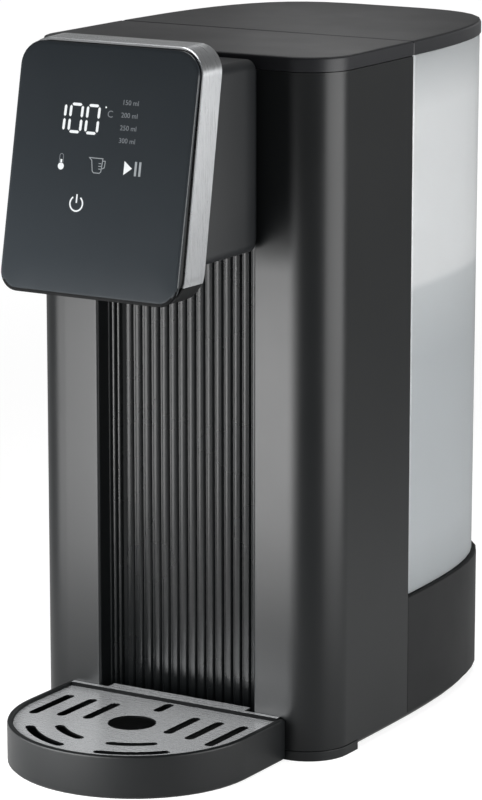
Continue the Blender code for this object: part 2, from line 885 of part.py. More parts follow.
def build_dock(body_look, seal_look):
    """The dock under the deck: a socket for the valve, its pin, its outlet barb and its seal."""
    outer = socket_bore + socket_wall
    floor = socket_floor()
    inside_floor = floor + socket_wall
    top = tank_bottom - gap
    socket = turned("dock_socket", [
        (0.0, floor), (outer, floor), (outer, top), (socket_bore, top),
        (socket_bore, inside_floor), (pin_radius, inside_floor), (pin_radius, pin_top()), (0.0, pin_top()),
    ], body_look)
    socket.location = world(0.0, valve_depth, 0.0)
    start = (0.0, valve_depth - outer - barb_length, pump_level)
    length = barb_length + socket_wall / 2
    join(socket, rod("dock_barb", start, barb_radius, length, body_look, axis="Y", steps=16))
    seal = turned("dock_seal", [
        (valve_neck + gap, top - seal_depth), (socket_bore - gap, top - seal_depth),
        (socket_bore - gap, top - gap), (valve_neck + gap, top - gap),
    ], seal_look)
    seal.location = world(0.0, valve_depth, 0.0)


def frame_plane(z):
    """Depth of the frame's front edge at a level: it leans back towards the top."""
    return -frame_front + frame_slope * (z - frame_level)


def screen_plane(z):
    """Depth of the control panel's front face at a level."""
    return -screen_front + screen_slope * (z - screen_bottom)


def head_corners(rear):
    """Centres of the four corner arcs of the head's section (x, z), from the bottom right one upwards."""
    top = head_top_rear if rear else head_top_front
    half = head_half_width if rear else head_half_width - head_flare
    x = half - head_corner
    low = head_bottom + head_corner
    high = top - head_corner
    return (x, low), (x, high), (-x, high), (-x, low)


def head_path(inset, rear, first):
    """The head's section from an angle on its bottom right corner over the top to the left one."""
    centres = head_corners(rear)
    radius = head_corner - inset
    points = arc(centres[0], radius, first, 0.0, small_steps)
    points += arc(centres[1], radius, 0.0, 90.0, corner_steps)
    points += arc(centres[2], radius, 90.0, 180.0, corner_steps)
    points += arc(centres[3], radius, 180.0, 180.0 - first, small_steps)
    return points


def lip_path(inset, rear, last):
    """The head's section below the silver band, from the left corner round to the right one."""
    centres = head_corners(rear)
    radius = head_corner - inset
    points = arc(centres[3], radius, 180.0 - last, 270.0, small_steps)
    points += arc(centres[0], radius, -90.0, last, small_steps)
    return points


def end_angle(level):
    """The angle on a bottom corner of the head's section at a level."""
    return math.degrees(math.asin((level - head_bottom) / head_corner - 1.0))


def build_head_frame(look):
    """The silver band over the head, open below, with its front and rear edges leaning alike."""
    first = end_angle(frame_end)

    def ring(setback, edge, rear):
        outer = head_path(edge, rear, first)
        inner = head_path(frame_skin, rear, first)
        return [world(x, frame_plane(z) + setback, z) for x, z in outer + inner[::-1]]

    rings = [
        ring(0.0, frame_edge, False), ring(frame_edge, 0.0, False),
        ring(frame_depth - frame_edge, 0.0, True), ring(frame_depth, frame_edge, True),
    ]
    return loft("head_frame", rings, look)


def carrier_front(z):
    """Depth of the carrier's front edge, close behind the control panel."""
    lean = math.sqrt(1.0 + screen_slope ** 2)
    return screen_plane(z) + (screen_thickness + gap) * lean


def build_carrier(look):
    """The dark tray inside the band, open to the front, with a lip that shows below the band."""
    side = frame_skin + gap
    last = end_angle(frame_end - gap)

    def ring(depth_of, inset, rear):
        upper = head_path(side + inset, rear, end_angle(frame_end))
        lower = lip_path(side + inset, rear, last)
        return [world(x, depth_of(z), z) for x, z in upper + lower]

    def lip_ring(setback, edge, rear):
        outer = lip_path(edge, rear, last)
        inner = lip_path(side + carrier_skin / 2, rear, last)
        return [world(x, frame_plane(z) + setback, z) for x, z in outer + inner[::-1]]

    def floor(z):
        return frame_plane(z) + frame_depth - carrier_skin

    def rear(z):
        return frame_plane(z) + frame_depth - gap

    rings = [
        ring(floor, carrier_skin, True), ring(carrier_front, carrier_skin, False),
        ring(carrier_front, 0.0, False), ring(rear, 0.0, True),
    ]
    carrier = loft("panel_carrier", rings, look)
    rings = [
        lip_ring(0.0, frame_edge, False), lip_ring(frame_edge, 0.0, False),
        lip_ring(frame_depth - carrier_skin / 2, 0.0, True),
    ]
    join(carrier, loft("carrier_lip", rings, look))
    middle = (housing_bottom + housing_top) / 2
    depth = frame_plane(middle)
    low = (-cable_slot[0] / 2, depth, middle - cable_slot[1] / 2)
    high = (cable_slot[0] / 2, depth + 2 * frame_depth, middle + cable_slot[1] / 2)
    cut(carrier, block("cable_slot", low, high, look))
    return carrier


def panel_point(x, rise, back):
    """A point of the control panel: across, up its face from its lower edge, and behind its face."""
    lean = math.atan(screen_slope)
    depth = -screen_front + rise * math.sin(lean) + back * math.cos(lean)
    z = screen_bottom + rise * math.cos(lean) - back * math.sin(lean)
    return world(x, depth, z)


def panel_height():
    return (screen_top - screen_bottom) / math.cos(math.atan(screen_slope))


def build_control_panel(look):
    """The smooth touch panel: a slab with softly rounded edges and a slight crown."""
    height = panel_height()
    rings = []
    for inset_share, back_share in zip(screen_inset_shares, screen_back_shares):
        inset = inset_share * screen_edge
        half = screen_half_width - inset
        low_corner = screen_low_corner - inset
        section = rounded_rectangle(half, inset, height - inset, screen_corner - inset, 8, low_corner)
        rings.append([panel_point(x, rise, back_share * screen_thickness) for x, rise in section])
    corner = screen_crown_inset / 2
    inset = screen_crown_inset
    section = rounded_rectangle(screen_half_width - inset, inset, height - inset, corner, 8)
    rings.append([panel_point(x, rise, -screen_crown) for x, rise in section])
    return loft("control_panel", rings, look)


def build_display(board_look, led_look):
    """The display board behind the panel and the lamp block that shows through it."""
    side = frame_skin + gap + carrier_skin + gap
    half = head_half_width - head_flare - side
    low = frame_end + carrier_skin + gap
    section = rounded_rectangle(half, low, head_top_front - side, head_corner - side, small_steps)
    lean = math.sqrt(1.0 + screen_slope ** 2)
    front = screen_thickness + board_setback
    rings = []
    for back in (front, front + board_thickness):
        rings.append([world(x, screen_plane(z) + back * lean, z) for x, z in section])
    loft("display_board", rings, board_look)
    width, depth, tall = led_size
    low = panel_height() - led_drop - tall / 2
    rings = []
    for back in (front - gap, front - gap - depth):
        corners = ((-width / 2, low), (width / 2, low), (width / 2, low + tall), (-width / 2, low + tall))
        rings.append([panel_point(x, rise, back) for x, rise in corners])
    loft("led_display", rings, led_look)


def build_head_housing(look):
    """The box that carries the head in front of the columns, open to the frame and to the body."""
    def ring(inset, depth_of, narrow=0.0):
        corner = housing_corner - min(inset, housing_corner / 2)
        drawn_in = inset + narrow
        half = housing_half_width - drawn_in
        section = rounded_rectangle(half, housing_bottom + drawn_in, housing_top - drawn_in, corner)
        return [world(x, depth_of(z), z) for x, z in section]

    def front(z):
        return frame_plane(z) + frame_depth + gap

    def shoulder(z):
        return -neck_length

    def back(z):
        return -gap

    rings = [
        ring(0.0, front), ring(0.0, shoulder), ring(0.0, shoulder, neck_inset), ring(0.0, back, neck_inset),
        ring(wall, back, neck_inset), ring(wall, shoulder, neck_inset), ring(wall + neck_inset, front),
    ]
    housing = loft("head_housing", rings, look, ring_closed=True)
    low = (0.0, -spout_forward, housing_bottom - overrun)
    cut(housing, rod("spout_hole", low, spout_radius + gap, wall + neck_inset + 2 * overrun, look))
    return housing


def build_spout(look, seal_look):
    """The spout: a tapered nozzle through the housing's floor, held by its flange on a seal."""
    floor = housing_bottom + wall + neck_inset
    seal_low = floor + gap
    flange_low = seal_low + seal_height + gap
    flange_high = flange_low + spout_flange_height
    neck = barb_radius + spout_bore / 2
    tip = housing_bottom - spout_drop
    top = housing_bottom + spout_rise
    nozzle = turned("spout_nozzle", [
        (spout_bore, tip), (spout_tip_radius, tip), (spout_radius, housing_bottom),
        (spout_radius, flange_low), (spout_flange, flange_low), (spout_flange, flange_high),
        (neck, flange_high), (neck, top), (spout_bore, top),
    ], look)
    nozzle.location = world(0.0, -spout_forward, 0.0)
    seal = turned("spout_seal", [
        (spout_radius + gap, seal_low), (spout_flange, seal_low),
        (spout_flange, seal_low + seal_height), (spout_radius + gap, seal_low + seal_height),
    ], seal_look)
    seal.location = world(0.0, -spout_forward, 0.0)


def build_tray(look):
    """The drip tray: a D-shaped cup with a ledge for its grille and a lower rear wall."""
    rim_inner = tray_rim
    ledge_inner = tray_rim + tray_ledge
    ledge_level = grille_top - grille_thickness - gap
    rings = [
        at_level(tray_outline(tray_edge), 0.0),
        at_level(tray_outline(0.0), tray_edge),
        at_level(tray_outline(0.0), tray_height - tray_edge),
        at_level(tray_outline(tray_edge * edge_share), tray_height - tray_edge * edge_share),
        at_level(tray_outline(tray_edge), tray_height),
        at_level(tray_outline(rim_inner), tray_height),
        at_level(tray_outline(rim_inner), ledge_level),
        at_level(tray_outline(ledge_inner), ledge_level),
        at_level(tray_outline(ledge_inner), tray_floor),
    ]
    tray = loft("drip_tray", rings, look)
    side = tray_half_width - rim_inner
    low = (-side, -gap - rim_inner, ledge_level)
    cut(tray, block("rear_notch", low, (side, overrun, tray_height + overrun), look))
    return tray


def slot_outline(x, near, far):
    """A straight slot along the depth, with round ends."""
    ends = arc((x, -far + slot_half_width), slot_half_width, 180.0, 360.0, 6)
    ends += arc((x, -near - slot_half_width), slot_half_width, 0.0, 180.0, 6)
    return ends


def arc_slot_outline(radius, first_share, last_share, side, centre):
    """A slot along an arc in front of the hole, with round ends, on one side of the middle."""
    quarter = 90.0
    first = -quarter + side * quarter * first_share
    last = -quarter + side * quarter * last_share
    points = arc(centre, radius + slot_half_width, first, last, 10)
    end = math.radians(last)
    tip = (centre[0] + radius * math.cos(end), centre[1] + radius * math.sin(end))
    points += arc(tip, slot_half_width, last, last + side * 180.0, 6)[1:-1]
    points += arc(centre, radius - slot_half_width, last, first, 10)
    start = math.radians(first)
    tip = (centre[0] + radius * math.cos(start), centre[1] + radius * math.sin(start))
    points += arc(tip, slot_half_width, first + side * 180.0, first + side * 360.0, 6)[1:-1]
    return points


def build_grille(look):
    """The steel plate over the tray, with its drain hole, straight slots and front arcs, and a rear
    flange that lies over the tray's rear wall and reaches over the sill with a tongue."""
    plate_low = grille_top - grille_thickness
    side = tray_half_width - tray_rim - gap
    outline = tray_outline(tray_rim + gap)[:-2] + [(side, -gap), (-side, -gap)]
    plate = prism("drip_grille", outline, plate_low, grille_top, look)
    flange_top = grille_top + flange_height
    low = (-side, -gap - flange_depth, grille_top - grille_thickness / 2)
    join(plate, block("grille_flange", low, (side, -gap, flange_top), look))
    low = (-tongue_half_width, -gap - flange_depth / 2, flange_top - tongue_thickness)
    join(plate, block("grille_tongue", low, (tongue_half_width, tongue_reach, flange_top), look))
    cutters = []
    for k, (near_share, far_share) in enumerate(slot_end_shares):
        for side in (-1, 1):
            x = side * (first_slot + slot_pitch * k)
            cutters.append(slot_outline(x, near_share * tray_reach, far_share * tray_reach))
    near, far = (share * tray_reach for share in centre_slot_shares)
    cutters.append(slot_outline(0.0, near, far))
    centre = (0.0, tray_half_width - tray_reach)
    for k, (first_share, last_share) in enumerate(arc_turn_shares):
        for side in (-1, 1):
            radius = arc_radius + arc_pitch * k
            cutters.append(arc_slot_outline(radius, first_share, last_share, side, centre))
    for k, outline in enumerate(cutters):
        cut(plate, prism(f"grille_slot_{k}", outline, plate_low - overrun, grille_top + overrun, look))
    low = (0.0, -spout_forward, plate_low - overrun)
    cut(plate, rod("grille_hole", low, hole_radius, grille_thickness + 2 * overrun, look, steps=32))
    return plate


def build_pump(look, mount_look):
    """The water pump: round motor, wider head, two barbs, on two cradles."""
    head = pump_head_half
    profile = [
        (0.0, -head), (pump_head_radius, -head), (pump_head_radius, head), (pump_motor_radius, head),
        (pump_motor_radius, head + pump_motor_length), (pump_boss_radius, head + pump_motor_length),
        (pump_boss_radius, head + pump_motor_length + pump_boss_length),
        (0.0, head + pump_motor_length + pump_boss_length),
    ]
    pump = turned("water_pump", profile, look, axis="X")
    pump.location = world(0.0, pump_depth, pump_level)
    reach = pump_head_radius - wall
    start = (0.0, pump_depth + reach, pump_level)
    join(pump, rod("pump_inlet", start, barb_radius, barb_length + wall, look, axis="Y", steps=16))
    start = (0.0, pump_depth, pump_level + reach)
    join(pump, rod("pump_outlet", start, barb_radius, barb_length + wall, look, steps=16))
    near = head + cradle_inset
    far = head + pump_motor_length - cradle_inset - cradle_width
    for name, x in (("pump_cradle_inner", near), ("pump_cradle_outer", far)):
        build_cradle(name, x, mount_look)


def build_cradle(name, x, look):
    """A rubber block with a round seat for the pump's motor."""
    seat = pump_motor_radius + gap
    angle = math.degrees(math.asin(cradle_drop / seat))
    top = pump_level - cradle_drop
    outline = [(pump_depth + cradle_side, shell_bottom), (pump_depth + cradle_side, top)]
    outline += arc((pump_depth, pump_level), seat, -angle, angle - 180.0, 12)
    outline += [(pump_depth - cradle_side, top), (pump_depth - cradle_side, shell_bottom)]
    rings = [[world(place, depth, z) for depth, z in outline] for place in (x, x + cradle_width)]
    return loft(name, rings, look)


def build_heater(block_look, bracket_look, part_look):
    """The flow-through heater: a finned cast block with barbs, its bracket, cut-out and sensor."""
    outline = [(-heater_half_width, heater_back), (-heater_half_width, heater_front + fin_depth)]
    pitch = 2 * heater_half_width / fin_count
    for k in range(fin_count):
        left = -heater_half_width + pitch * k
        start = left + pitch * (1.0 - fin_share) / 2
        end = start + pitch * fin_share
        outline += [(start, heater_front + fin_depth), (start, heater_front)]
        outline += [(end, heater_front), (end, heater_front + fin_depth)]
    outline += [(heater_half_width, heater_front + fin_depth), (heater_half_width, heater_back)]
    top = heater_top
    heater = prism("water_heater", outline, heater_bottom, top, block_look)
    low = (0.0, heater_middle, heater_bottom - barb_length)
    join(heater, rod("heater_inlet", low, barb_radius, barb_length + fin_depth, block_look, steps=16))
    high = (0.0, heater_middle, top - fin_depth)
    join(heater, rod("heater_outlet", high, barb_radius, barb_length + fin_depth, block_look, steps=16))

    back = divider_front - gap
    plate = back - bracket_skin
    arm = heater_half_width + gap
    ear = arm + bracket_skin + bracket_flange
    front = plate - bracket_reach
    right = [(ear, back), (ear, plate), (arm + bracket_skin, plate)]
    right += [(arm + bracket_skin, front), (arm, front), (arm, plate)]
    outline = right + [(-x, depth) for x, depth in reversed(right)]
    prism("heater_bracket", outline, heater_bottom + bracket_rise, bracket_top, bracket_look)

    cap = cutout_height + cutout_cap_height
    cutout = turned("thermal_cutout", [
        (0.0, 0.0), (cutout_radius, 0.0), (cutout_radius, cutout_height),
        (cutout_cap_radius, cutout_height), (cutout_cap_radius, cap), (0.0, cap),
    ], part_look, axis="X")
    cutout.location = world(heater_half_width + gap, heater_middle, (bracket_top + heater_top) / 2)

    sensor = turned("water_sensor", [
        (0.0, top + gap), (sensor_radius, top + gap), (sensor_radius, top + sensor_length / 2),
        (sensor_radius / 2, top + sensor_length / 2), (sensor_radius / 2, top + sensor_length),
        (0.0, top + sensor_length),
    ], bracket_look, steps=12)
    sensor.location = world(sensor_side, heater_middle, 0.0)


def build_hoses(look):
    """Three silicone hoses: dock to pump, pump to heater, heater to spout."""
    dock_end = valve_depth - socket_bore - socket_wall - barb_length - gap
    pump_end = pump_depth + pump_head_radius + barb_length + gap
    route = [(0.0, pump_end + (dock_end - pump_end) * k / 4, pump_level) for k in range(5)]
    tube("inlet_hose", route, hose_radius, look)

    low = pump_level + pump_head_radius + barb_length + gap
    high = heater_bottom - barb_length - gap
    bend = (high - low) / 4
    route = smooth_route([
        (0.0, pump_depth, low), (0.0, pump_depth, low + bend),
        (0.0, heater_middle, high - bend), (0.0, heater_middle, high),
    ], 4)
    tube("pump_hose", route, hose_radius, look)

    low = heater_top + barb_length + gap
    crest = hose_crest
    bend = 2 * hose_radius
    drop = housing_bottom + spout_rise + gap
    route = smooth_route([
        (0.0, heater_middle, low), (0.0, heater_middle, low + bend),
        (0.0, heater_middle - bend, crest), (0.0, 0.0, crest),
        (0.0, bend - spout_forward, crest), (0.0, -spout_forward, drop + bend),
        (0.0, -spout_forward, drop),
    ], 5)
    tube("outlet_hose", route, hose_radius, look)


def build_power_board(look):
    """The control electronics: one board on four standoffs, with its larger parts."""
    back = divider_front - standoff - gap
    front = back - board_thickness
    low = (-board_left, front, board_bottom)
    high = (-board_right, back, board_bottom + board_height)
    board = block("power_board", low, high, look)
    for name, (wide, deep, tall) in board_part_sizes.items():
        across_share, up_share = board_place_shares[name]
        x = -board_left + board_width * across_share
        z = board_bottom + board_height * up_share
        low = (x - wide / 2, front - deep, z - tall / 2)
        high = (x + wide / 2, front + board_thickness / 2, z + tall / 2)
        join(board, block(f"board_{name}", low, high, look))
    return board


def carry(name, place, pieces, carrier=None):
    """Hang moving pieces on an empty that stands on their line of travel."""
    hook = bpy.data.objects.new(name, None)
    hook.location = world(*place)
    bpy.context.collection.objects.link(hook)
    if carrier:
        hook.parent = carrier
        hook.matrix_parent_inverse = Matrix.Translation(-carrier.location)
    for piece in pieces:
        obj = bpy.data.objects[piece]
        obj.parent = hook
        obj.matrix_parent_inverse = Matrix.Translation(-hook.location)
    return hook


def build_travel():
    """The tank, its valve and its lid rise together, and the grille rises from the sliding tray."""
    pieces = ("water_tank", "valve_body", "valve_spring", "tank_strainer")
    tank = carry("tank_lift", (0.0, valve_depth, tank_bottom), pieces)
    carry("valve_travel", (0.0, valve_depth, tank_bottom), ("valve_plunger",), tank)
    carry("lid_lift", (0.0, valve_depth, cover_bottom), ("tank_lid",), tank)
    tray = carry("tray_slide", (0.0, 0.0, 0.0), ("drip_tray",))
    carry("grille_lift", (0.0, -spout_forward, grille_top), ("drip_grille",), tray)


def build():
    for obj in list(bpy.data.objects):
        bpy.data.objects.remove(obj, do_unlink=True)
    looks = finishes()
    build_skirt(looks["dark_base"])
    build_base_plate(looks["dark_base"])
    build_feet(looks["rubber"])
    build_screws(looks["zinc_steel"])
    build_body_shell(looks["satin_black"])
    build_rib_panel(looks["satin_black"])
    build_divider(looks["dark_base"])
    build_rear_base(looks["dark_base"])
    build_gland(looks["rubber"])
    build_top_cover(looks["satin_black"])
    build_tank(looks["frosted_clear"])
    build_tank_lid(looks["dark_base"])
    build_valve(looks["white_plastic"], looks["zinc_steel"], looks["white_plastic"])
    build_dock(looks["white_plastic"], looks["silicone"])
    build_head_frame(looks["brushed_silver"])
    build_carrier(looks["gloss_black"])
    build_control_panel(looks["gloss_black"])
    build_display(looks["circuit_board"], looks["display"])
    build_head_housing(looks["satin_black"])
    build_spout(looks["gloss_black"], looks["silicone"])
    build_tray(looks["dark_base"])
    build_grille(looks["brushed_steel"])
    build_pump(looks["white_plastic"], looks["rubber"])
    build_heater(looks["cast_aluminium"], looks["zinc_steel"], looks["zinc_steel"])
    build_hoses(looks["silicone"])
    build_power_board(looks["circuit_board"])
    build_travel()


build()
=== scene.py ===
"""Looks of an instant hot water dispenser: satin ABS columns round a ribbed bay, a touch panel in a
brushed aluminium band, a brushed steel drip grille and a frosted tank with water in it."""

import json
import math

import bmesh
import bpy
from mathutils import Matrix, Vector

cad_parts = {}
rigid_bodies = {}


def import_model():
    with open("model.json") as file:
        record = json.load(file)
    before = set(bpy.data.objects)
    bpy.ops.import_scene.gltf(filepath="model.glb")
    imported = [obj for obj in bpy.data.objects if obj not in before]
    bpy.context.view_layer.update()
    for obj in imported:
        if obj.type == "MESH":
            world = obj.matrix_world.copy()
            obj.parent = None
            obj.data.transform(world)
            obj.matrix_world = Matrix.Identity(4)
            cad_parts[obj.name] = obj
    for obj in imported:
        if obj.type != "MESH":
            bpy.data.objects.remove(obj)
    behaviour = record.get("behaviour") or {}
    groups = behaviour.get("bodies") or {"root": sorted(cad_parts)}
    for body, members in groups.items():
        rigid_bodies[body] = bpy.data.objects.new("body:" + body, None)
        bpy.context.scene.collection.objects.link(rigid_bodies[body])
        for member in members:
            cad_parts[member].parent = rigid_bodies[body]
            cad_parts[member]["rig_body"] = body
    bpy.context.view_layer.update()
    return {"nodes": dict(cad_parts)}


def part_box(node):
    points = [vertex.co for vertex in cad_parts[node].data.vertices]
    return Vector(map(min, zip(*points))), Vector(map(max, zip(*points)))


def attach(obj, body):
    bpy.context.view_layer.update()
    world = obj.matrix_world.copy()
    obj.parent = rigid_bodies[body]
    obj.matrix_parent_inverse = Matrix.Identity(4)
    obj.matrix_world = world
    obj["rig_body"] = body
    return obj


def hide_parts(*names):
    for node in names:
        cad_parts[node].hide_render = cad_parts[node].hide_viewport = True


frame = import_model()

MM = 0.001
front_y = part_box("body_shell")[0].y

# The photograph's view, fitted to the machine's edges: angles in degrees, sizes in metres
view_turn = 31.256
view_pitch = 12.442
view_distance = 1.69501
view_lens = 168.66
view_target = Vector((0.02568, 0.01559 + front_y, 0.16042))

# Heights above the counter in metres: the water's line, and the front lights' lower and upper edges
water_level = 0.2068
front_lights_low = 0.004
front_lights_high = 0.195


def linear(code):
    """An sRGB hex colour as linear values."""
    parts = [int(code[k:k + 2], 16) / 255 for k in (1, 3, 5)]
    return tuple(p / 12.92 if p <= 0.04045 else ((p + 0.055) / 1.055) ** 2.4 for p in parts)


def shade(code, share=1.0):
    """An sRGB hex colour as linear RGBA, darker or lighter by a share."""
    return (*(min(part * share, 1.0) for part in linear(code)), 1.0)


def start_material(name):
    """An empty node material with its Principled shader and output."""
    made = bpy.data.materials.new(name)
    made.use_nodes = True
    return made, made.node_tree, made.node_tree.nodes["Principled BSDF"]


def add(tree, kind, settings=None, links=None):
    """Add a node, set its properties and sockets, and link other nodes' outputs to its sockets."""
    node = tree.nodes.new(kind)
    for key, value in (settings or {}).items():
        if isinstance(key, str) and hasattr(node, key):
            setattr(node, key, value)
        else:
            node.inputs[key].default_value = value
    for key, output in (links or {}).items():
        tree.links.new(output, node.inputs[key])
    return node


def finish_shader(shader, colour, roughness, metallic=0.0, **more):
    """Set the shader's own sockets for values that are the same all over."""
    shader.inputs["Base Color"].default_value = shade(colour)
    shader.inputs["Roughness"].default_value = roughness
    shader.inputs["Metallic"].default_value = metallic
    for socket, value in more.items():
        shader.inputs[socket.replace("_", " ")].default_value = value


def moulded_plastic(name, colour, roughness, grain_mm, grain_depth_mm, cloud_share, ior=1.36):
    """Injection-moulded plastic, mostly ABS: a fine spark-eroded grain that softens reflections, drawn
    two to three times as coarse as it is so that it shows, and faint differences of sheen over some
    centimetres where the melt flowed."""
    made, tree, shader = start_material(name)
    finish_shader(shader, colour, roughness, IOR=ior)
    place = add(tree, "ShaderNodeTexCoord")
    grain = add(tree, "ShaderNodeTexNoise", {"Scale": 1 / (grain_mm * MM), "Detail": 3.0, "Roughness": 0.6},
                {"Vector": place.outputs["Object"]})
    cloud = add(tree, "ShaderNodeTexNoise", {"Scale": 1 / (40 * MM), "Detail": 4.0},
                {"Vector": place.outputs["Object"]})
    sheen = add(tree, "ShaderNodeMapRange", {"From Min": 0.3, "From Max": 0.7,
                                             "To Min": roughness * (1 - cloud_share),
                                             "To Max": roughness * (1 + cloud_share)},
                {"Value": cloud.outputs["Fac"]})
    tree.links.new(sheen.outputs["Result"], shader.inputs["Roughness"])
    shades = {"data_type": "RGBA", "A": shade(colour, 0.92), "B": shade(colour, 1.08)}
    tone = add(tree, "ShaderNodeMix", shades, {0: grain.outputs["Fac"]})
    tree.links.new(tone.outputs["Result"], shader.inputs["Base Color"])
    bump = add(tree, "ShaderNodeBump", {"Distance": grain_depth_mm * MM, "Strength": 0.6},
               {"Height": grain.outputs["Fac"]})
    tree.links.new(bump.outputs["Normal"], shader.inputs["Normal"])
    return made


def smooth_acrylic(name, colour, roughness):
    """Polished acrylic over black ink: an even, deep black with clear soft reflections and a
    barely uneven surface from the moulding."""
    made, tree, shader = start_material(name)
    finish_shader(shader, colour, roughness, IOR=1.49)
    place = add(tree, "ShaderNodeTexCoord")
    wave = add(tree, "ShaderNodeTexNoise", {"Scale": 1 / (18 * MM), "Detail": 1.0},
               {"Vector": place.outputs["Object"]})
    bump = add(tree, "ShaderNodeBump", {"Distance": 0.02 * MM, "Strength": 0.4},
               {"Height": wave.outputs["Fac"]})
    tree.links.new(bump.outputs["Normal"], shader.inputs["Normal"])
    haze = add(tree, "ShaderNodeMapRange", {"To Min": roughness * 0.9, "To Max": roughness * 1.1},
               {"Value": wave.outputs["Fac"]})
    tree.links.new(haze.outputs["Result"], shader.inputs["Roughness"])
    return made


def brushed_metal(name, colour, roughness, line_mm, run_mm, depth_mm, metallic=1.0):
    """Brushed metal: fine parallel lines side by side along Y, drawn about four times as coarse as the
    real 0.05 mm scratches so that they show, with light and dark strands and a softened gloss."""
    made, tree, shader = start_material(name)
    finish_shader(shader, colour, roughness, metallic)
    place = add(tree, "ShaderNodeTexCoord")
    scale = (1 / (run_mm * MM), 1 / (line_mm * MM), 1 / (run_mm * MM))
    mapping = add(tree, "ShaderNodeMapping", {"Scale": scale}, {"Vector": place.outputs["Object"]})
    strand = add(tree, "ShaderNodeTexNoise", {"Scale": 1.0, "Detail": 4.0, "Roughness": 0.7},
                 {"Vector": mapping.outputs["Vector"]})
    shades = {"data_type": "RGBA", "A": shade(colour, 0.80), "B": shade(colour, 1.16)}
    tone = add(tree, "ShaderNodeMix", shades, {0: strand.outputs["Fac"]})
    tree.links.new(tone.outputs["Result"], shader.inputs["Base Color"])
    gloss = add(tree, "ShaderNodeMapRange", {"From Min": 0.3, "From Max": 0.7, "To Min": roughness * 0.8,
                                             "To Max": roughness * 1.25}, {"Value": strand.outputs["Fac"]})
    tree.links.new(gloss.outputs["Result"], shader.inputs["Roughness"])
    bump = add(tree, "ShaderNodeBump", {"Distance": depth_mm * MM, "Strength": 0.5},
               {"Height": strand.outputs["Fac"]})
    tree.links.new(bump.outputs["Normal"], shader.inputs["Normal"])
    return made


def frosted_san(name, colour):
    """Frosted SAN of the tank: milky walls that pass soft light, with the etched mould's frost, drawn
    coarser than it is so that it shows,
    and a faint flow cloud. Painted shade: greyer below the water line, darker still towards the foot, and a
    painted shadow of the lid along the top."""
    made, tree, shader = start_material(name)
    finish_shader(shader, colour, 0.38, IOR=1.49, Transmission_Weight=0.68)
    place = add(tree, "ShaderNodeTexCoord")
    frost = add(tree, "ShaderNodeTexNoise", {"Scale": 1 / (0.5 * MM), "Detail": 3.0},
                {"Vector": place.outputs["Object"]})
    cloud = add(tree, "ShaderNodeTexNoise", {"Scale": 1 / (60 * MM), "Detail": 3.0},
                {"Vector": place.outputs["Object"]})
    shades = {"data_type": "RGBA", "A": shade(colour, 0.97), "B": shade(colour, 1.03)}
    tone = add(tree, "ShaderNodeMix", shades, {0: cloud.outputs["Fac"]})
    low, high = (corner.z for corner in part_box("water_tank"))
    axes = add(tree, "ShaderNodeSeparateXYZ", {}, {"Vector": place.outputs["Object"]})
    rise = add(tree, "ShaderNodeMapRange", {"From Min": low, "From Max": high},
               {"Value": axes.outputs["Z"]})
    # Painted shade down the wall: greyer below the water line, darkest at the foot, and a painted shadow of
    # the lid at the top
    painted_shade_ramp = add(tree, "ShaderNodeValToRGB", {}, {"Fac": rise.outputs["Result"]})
    line = (water_level - low) / (high - low)
    stops = ((0.0, "#C2C6C8"), (0.10, "#D8DBDD"), (line - 0.14, "#D5D8DA"), (line - 0.008, "#E4E6E7"),
             (line + 0.004, "#FFFFFF"), (0.90, "#FFFFFF"), (1.0, "#DADCDD"))
    while len(painted_shade_ramp.color_ramp.elements) < len(stops):
        painted_shade_ramp.color_ramp.elements.new(0.5)
    for stop, (spot, code) in zip(painted_shade_ramp.color_ramp.elements, stops):
        stop.position = spot
        stop.color = shade(code)
    seen = add(tree, "ShaderNodeMix", {"data_type": "RGBA", "blend_type": "MULTIPLY", 0: 1.0},
               {"A": tone.outputs["Result"], "B": painted_shade_ramp.outputs["Color"]})
    tree.links.new(seen.outputs["Result"], shader.inputs["Base Color"])
    bump = add(tree, "ShaderNodeBump", {"Distance": 0.02 * MM, "Strength": 0.5},
               {"Height": frost.outputs["Fac"]})
    tree.links.new(bump.outputs["Normal"], shader.inputs["Normal"])
    return made


def clear_water(name):
    """Drinking water behind the frosted wall: it takes the inner gloss off, and its grey colour is painted
    shade that reads as a grey veil.
    """
    made, tree, shader = start_material(name)
    finish_shader(shader, "#949BA0", 0.25, IOR=1.333, Transmission_Weight=0.35)
    place = add(tree, "ShaderNodeTexCoord")
    ripple = add(tree, "ShaderNodeTexNoise", {"Scale": 1 / (25 * MM), "Detail": 2.0},
                 {"Vector": place.outputs["Object"]})
    bump = add(tree, "ShaderNodeBump", {"Distance": 0.05 * MM, "Strength": 0.3},
               {"Height": ripple.outputs["Fac"]})
    tree.links.new(bump.outputs["Normal"], shader.inputs["Normal"])
    return made


def soft_rubber(name, colour, roughness):
    """Moulded rubber or silicone: dull, with a dusty grain, drawn coarser than it is so that it shows."""
    made, tree, shader = start_material(name)
    finish_shader(shader, colour, roughness, IOR=1.45)
    place = add(tree, "ShaderNodeTexCoord")
    grain = add(tree, "ShaderNodeTexNoise", {"Scale": 1 / (0.8 * MM), "Detail": 4.0},
                {"Vector": place.outputs["Object"]})
    shades = {"data_type": "RGBA", "A": shade(colour, 0.88), "B": shade(colour, 1.1)}
    tone = add(tree, "ShaderNodeMix", shades, {0: grain.outputs["Fac"]})
    tree.links.new(tone.outputs["Result"], shader.inputs["Base Color"])
    bump = add(tree, "ShaderNodeBump", {"Distance": 0.05 * MM, "Strength": 0.4},
               {"Height": grain.outputs["Fac"]})
    tree.links.new(bump.outputs["Normal"], shader.inputs["Normal"])
    return made


